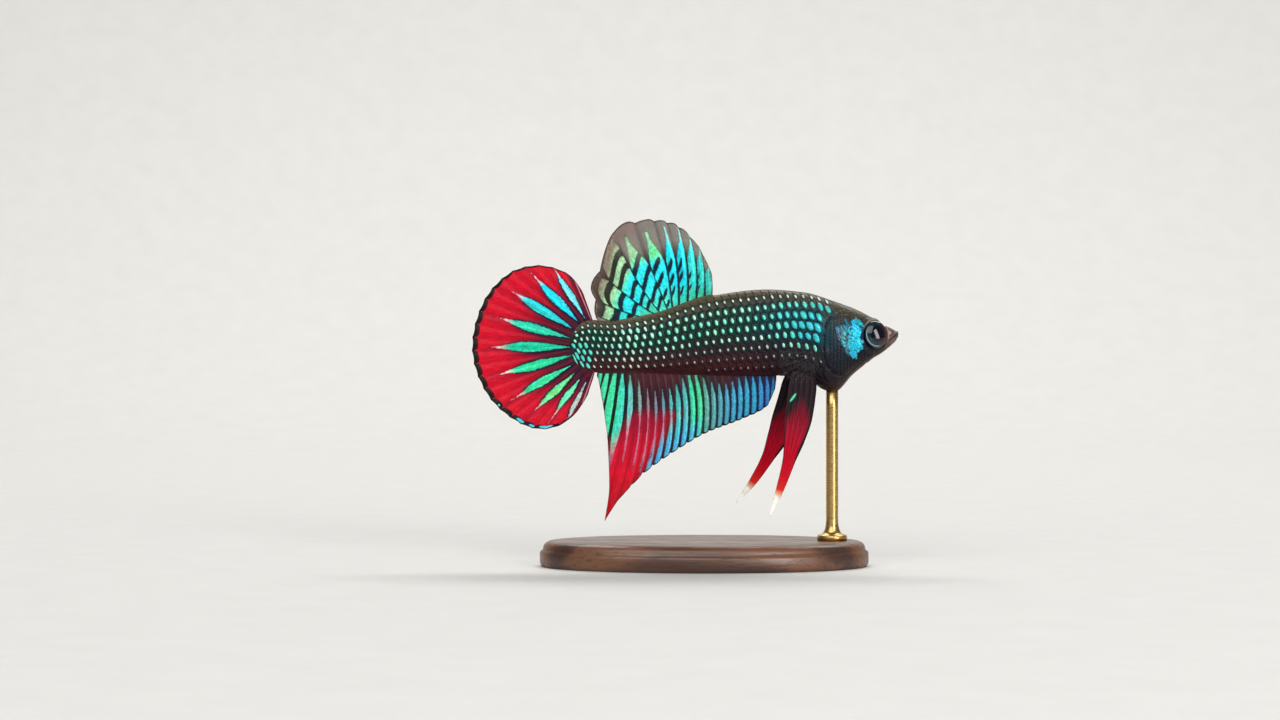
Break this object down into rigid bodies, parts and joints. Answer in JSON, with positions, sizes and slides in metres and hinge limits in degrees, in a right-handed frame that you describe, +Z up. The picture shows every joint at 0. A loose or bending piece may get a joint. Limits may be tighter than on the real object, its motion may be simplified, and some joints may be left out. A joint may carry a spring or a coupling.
{
  "type": "betta fish model on a display stand",
  "caption": "Still life-size betta fish with spread red and turquoise fins, facing +X, held over a flat oval base by one slim upright rod.",
  "frame": {"origin": "middle of the whole model seen from above, on the underside of the stand's base", "axes": "+X towards the snout along the fish's length, -Y towards its right flank, +Z up"},
  "size_m": [0.0597, 0.026, 0.0486],
  "materials": {
    "skin": "dark olive to black-brown scaled skin with small mint and turquoise spots",
    "lips": "brown, soft lip skin",
    "gill_cover": "crinkled turquoise, metallic sheen",
    "eye": "wet dark eye with a thin silver ring",
    "tail_fin": "red webs, turquoise streaks, black margin",
    "dorsal_fin": "turquoise cells between black rays, smoky clear top",
    "anal_fin": "green to blue webs between black rays, crimson rear",
    "belly_fin": "black to crimson with a white tip",
    "breast_fin": "clear webs with fine rays",
    "stand_wood": "dark oiled wood",
    "stand_metal": "brushed brass"
  },
  "bodies": {
    "root": {"head": "skin", "lower_jaw": "lips", "gill_cover_left": "gill_cover", "gill_cover_right": "gill_cover", "trunk": "skin", "tail_stock": "skin", "eye_left": "eye", "eye_right": "eye", "tail_fin": "tail_fin", "dorsal_fin": "dorsal_fin", "anal_fin": "anal_fin", "belly_fin_left": "belly_fin", "belly_fin_right": "belly_fin", "breast_fin_left": "breast_fin", "breast_fin_right": "breast_fin", "stand_base": "stand_wood", "stand_rod": "stand_metal"}
  },
  "joints": []
}
